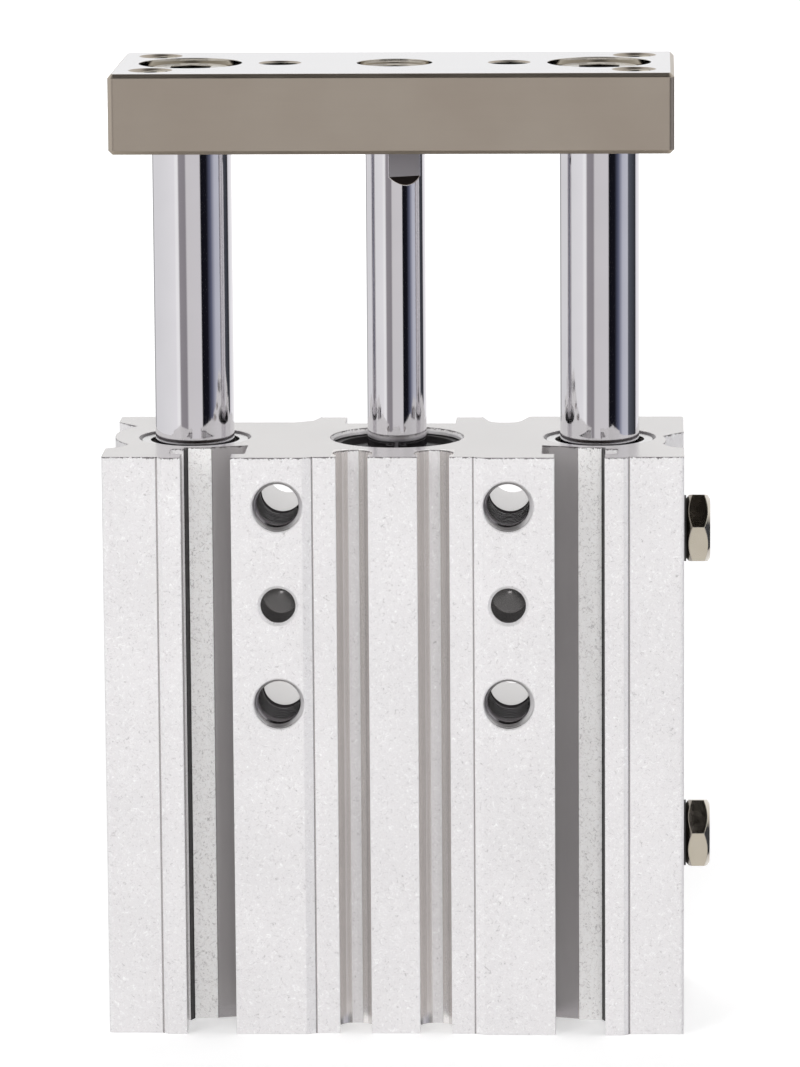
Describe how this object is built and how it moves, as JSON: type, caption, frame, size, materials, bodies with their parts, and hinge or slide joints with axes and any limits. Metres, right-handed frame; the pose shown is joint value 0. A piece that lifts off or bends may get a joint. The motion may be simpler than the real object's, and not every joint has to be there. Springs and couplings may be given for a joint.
{
  "type": "guided pneumatic cylinder",
  "caption": "Compact air cylinder with a piston rod between two guide rods that carry a flat end plate, in a slotted aluminium block.",
  "frame": {"origin": "middle of the block's bottom face, at the centre of the four tapped bottom holes", "axes": "+Z along the rods towards the end plate, +X across the guide rods towards the plugged ports, -Y out of the front mounting face"},
  "size_m": [0.0608, 0.026, 0.097],
  "materials": {
    "anodised_aluminium": "clear anodised, matt blasted extrusion",
    "turned_aluminium": "turned",
    "black_rubber": "matt moulded rubber",
    "bonded_magnet": "dull grey",
    "spring_steel": "dark phosphated spring steel",
    "sintered_bronze": "oiled sintered bronze",
    "felt": "oiled felt",
    "pressed_steel": "plated sheet steel",
    "nickel_plated_plug": "bright nickel plate",
    "nickel_plated_steel": "satin electroless nickel plate",
    "chromed_steel": "ground hard chrome",
    "screw_steel": "plated steel"
  },
  "bodies": {
    "block": {"body": "anodised_aluminium", "rod_collar": "turned_aluminium", "head_cover": "turned_aluminium", "collar_gasket": "black_rubber", "head_gasket": "black_rubber", "rod_seal": "black_rubber", "rod_bumper": "black_rubber", "head_bumper": "black_rubber", "collar_retaining_ring": "spring_steel", "head_retaining_ring": "spring_steel", "left_lower_bush": "sintered_bronze", "left_upper_bush": "sintered_bronze", "right_lower_bush": "sintered_bronze", "right_upper_bush": "sintered_bronze", "left_felt_wiper": "felt", "right_felt_wiper": "felt", "left_wiper_holder": "pressed_steel", "right_wiper_holder": "pressed_steel", "upper_port_plug": "nickel_plated_plug", "lower_port_plug": "nickel_plated_plug", "upper_plug_washer": "black_rubber", "lower_plug_washer": "black_rubber"},
    "carriage": {"end_plate": "nickel_plated_steel", "piston_rod": "chromed_steel", "piston": "turned_aluminium", "piston_seal": "black_rubber", "piston_magnet": "bonded_magnet", "left_guide_rod": "chromed_steel", "right_guide_rod": "chromed_steel", "rod_screw": "screw_steel", "left_guide_screw": "screw_steel", "right_guide_screw": "screw_steel"}
  },
  "joints": [
    {"name": "rod_slide", "type": "slide", "parent": "block", "child": "carriage", "axis": [0, 0, 1], "range_m": [-0.025, 0]}
  ]
}
